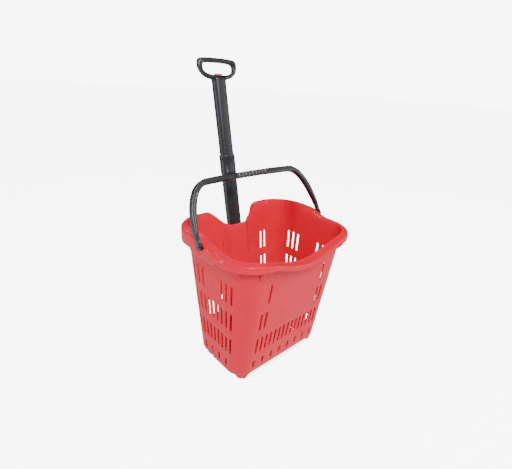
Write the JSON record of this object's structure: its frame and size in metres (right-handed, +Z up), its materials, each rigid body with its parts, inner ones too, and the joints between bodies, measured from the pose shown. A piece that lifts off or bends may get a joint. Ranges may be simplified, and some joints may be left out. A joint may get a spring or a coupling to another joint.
{
  "type": "rolling basket trolley",
  "caption": "Open moulded shopping basket on two rear wheels and front feet, with a swinging bail handle and a telescopic pull handle.",
  "frame": {"origin": "on the ground under the middle of the overall bounding box, with the pull handle drawn out", "axes": "+Z up, X along the basket's long side, +Y towards the pull handle, -Y the basket's front"},
  "size_m": [0.491, 0.4544, 0.8904],
  "materials": {
    "basket_red": "satin moulded polypropylene, slightly translucent red",
    "handle_black": "fine-grained moulded black plastic",
    "pole_black": "smooth satin black tube",
    "inner_grey": "plain grey nylon",
    "rivet_grey": "dark snap rivet",
    "button_red": "satin pink-red plastic",
    "steel": "zinc-plated steel",
    "tyre_grey": "dark grey soft plastic tread",
    "hub_grey": "mid grey moulded hub"
  },
  "bodies": {
    "basket": {"basket_tub": "basket_red", "pole_sleeve": "pole_black", "sleeve_end_plug": "handle_black", "upper_clamp": "handle_black", "lower_clamp": "handle_black", "clamp_screw_upper_left": "steel", "clamp_screw_upper_right": "steel", "clamp_screw_lower_left": "steel", "clamp_screw_lower_right": "steel", "wheel_axle_left": "steel", "wheel_axle_right": "steel", "axle_cap_left": "steel", "axle_cap_right": "steel"},
    "bail": {"bail_handle": "handle_black"},
    "mid_stage": {"mid_tube": "pole_black", "mid_collar": "pole_black", "collar_rivet_left": "rivet_grey", "collar_rivet_right": "rivet_grey", "mid_stage_plug": "inner_grey"},
    "top_stage": {"top_tube": "pole_black", "top_stage_plug": "inner_grey", "ring_handle": "handle_black", "ring_screw": "steel", "latch_spring": "steel", "button_spring": "steel"},
    "release": {"release_button": "button_red", "push_rod": "inner_grey"},
    "latch_left": {"latch_pin_left": "inner_grey"},
    "latch_right": {"latch_pin_right": "inner_grey"},
    "wheel_left": {"wheel_tyre_left": "tyre_grey", "wheel_hub_left": "hub_grey", "wheel_bush_left": "inner_grey"},
    "wheel_right": {"wheel_tyre_right": "tyre_grey", "wheel_hub_right": "hub_grey", "wheel_bush_right": "inner_grey"}
  },
  "joints": [
    {"name": "bail_swing", "type": "hinge", "parent": "basket", "child": "bail", "pos_m": [0, -0.04971, 0.434], "axis": [1, 0, 0], "range_deg": [0, 115]},
    {"name": "mid_slide", "type": "slide", "parent": "basket", "child": "mid_stage", "axis": [0, 0.2183, 0.9759], "range_m": [-0.172, 0]},
    {"name": "top_slide", "type": "slide", "parent": "mid_stage", "child": "top_stage", "axis": [0, 0.2183, 0.9759], "range_m": [-0.215, 0]},
    {"name": "button_press", "type": "slide", "parent": "top_stage", "child": "release", "axis": [0, 0.2183, 0.9759], "range_m": [-0.005, 0], "stiffness_N_per_m": 400, "springref_m": 0.002, "deforming": ["button_spring"]},
    {"name": "latch_left_slide", "type": "slide", "parent": "top_stage", "child": "latch_left", "axis": [1, 0, 0], "range_m": [0, 0.003], "stiffness_N_per_m": 200, "springref_m": -0.001, "deforming": ["latch_spring"]},
    {"name": "latch_right_slide", "type": "slide", "parent": "top_stage", "child": "latch_right", "axis": [1, 0, 0], "range_m": [-0.003, 0], "stiffness_N_per_m": 200, "springref_m": 0.001},
    {"name": "wheel_left_spin", "type": "hinge", "parent": "basket", "child": "wheel_left", "pos_m": [-0.158, 0.00479, 0.036], "axis": [1, 0, 0], "continuous": true},
    {"name": "wheel_right_spin", "type": "hinge", "parent": "basket", "child": "wheel_right", "pos_m": [0.158, 0.00479, 0.036], "axis": [1, 0, 0], "continuous": true}
  ],
  "couplings": [
    {"joint": "latch_left_slide", "follows": "button_press", "ratio": -0.6},
    {"joint": "latch_right_slide", "follows": "button_press", "ratio": 0.6}
  ]
}
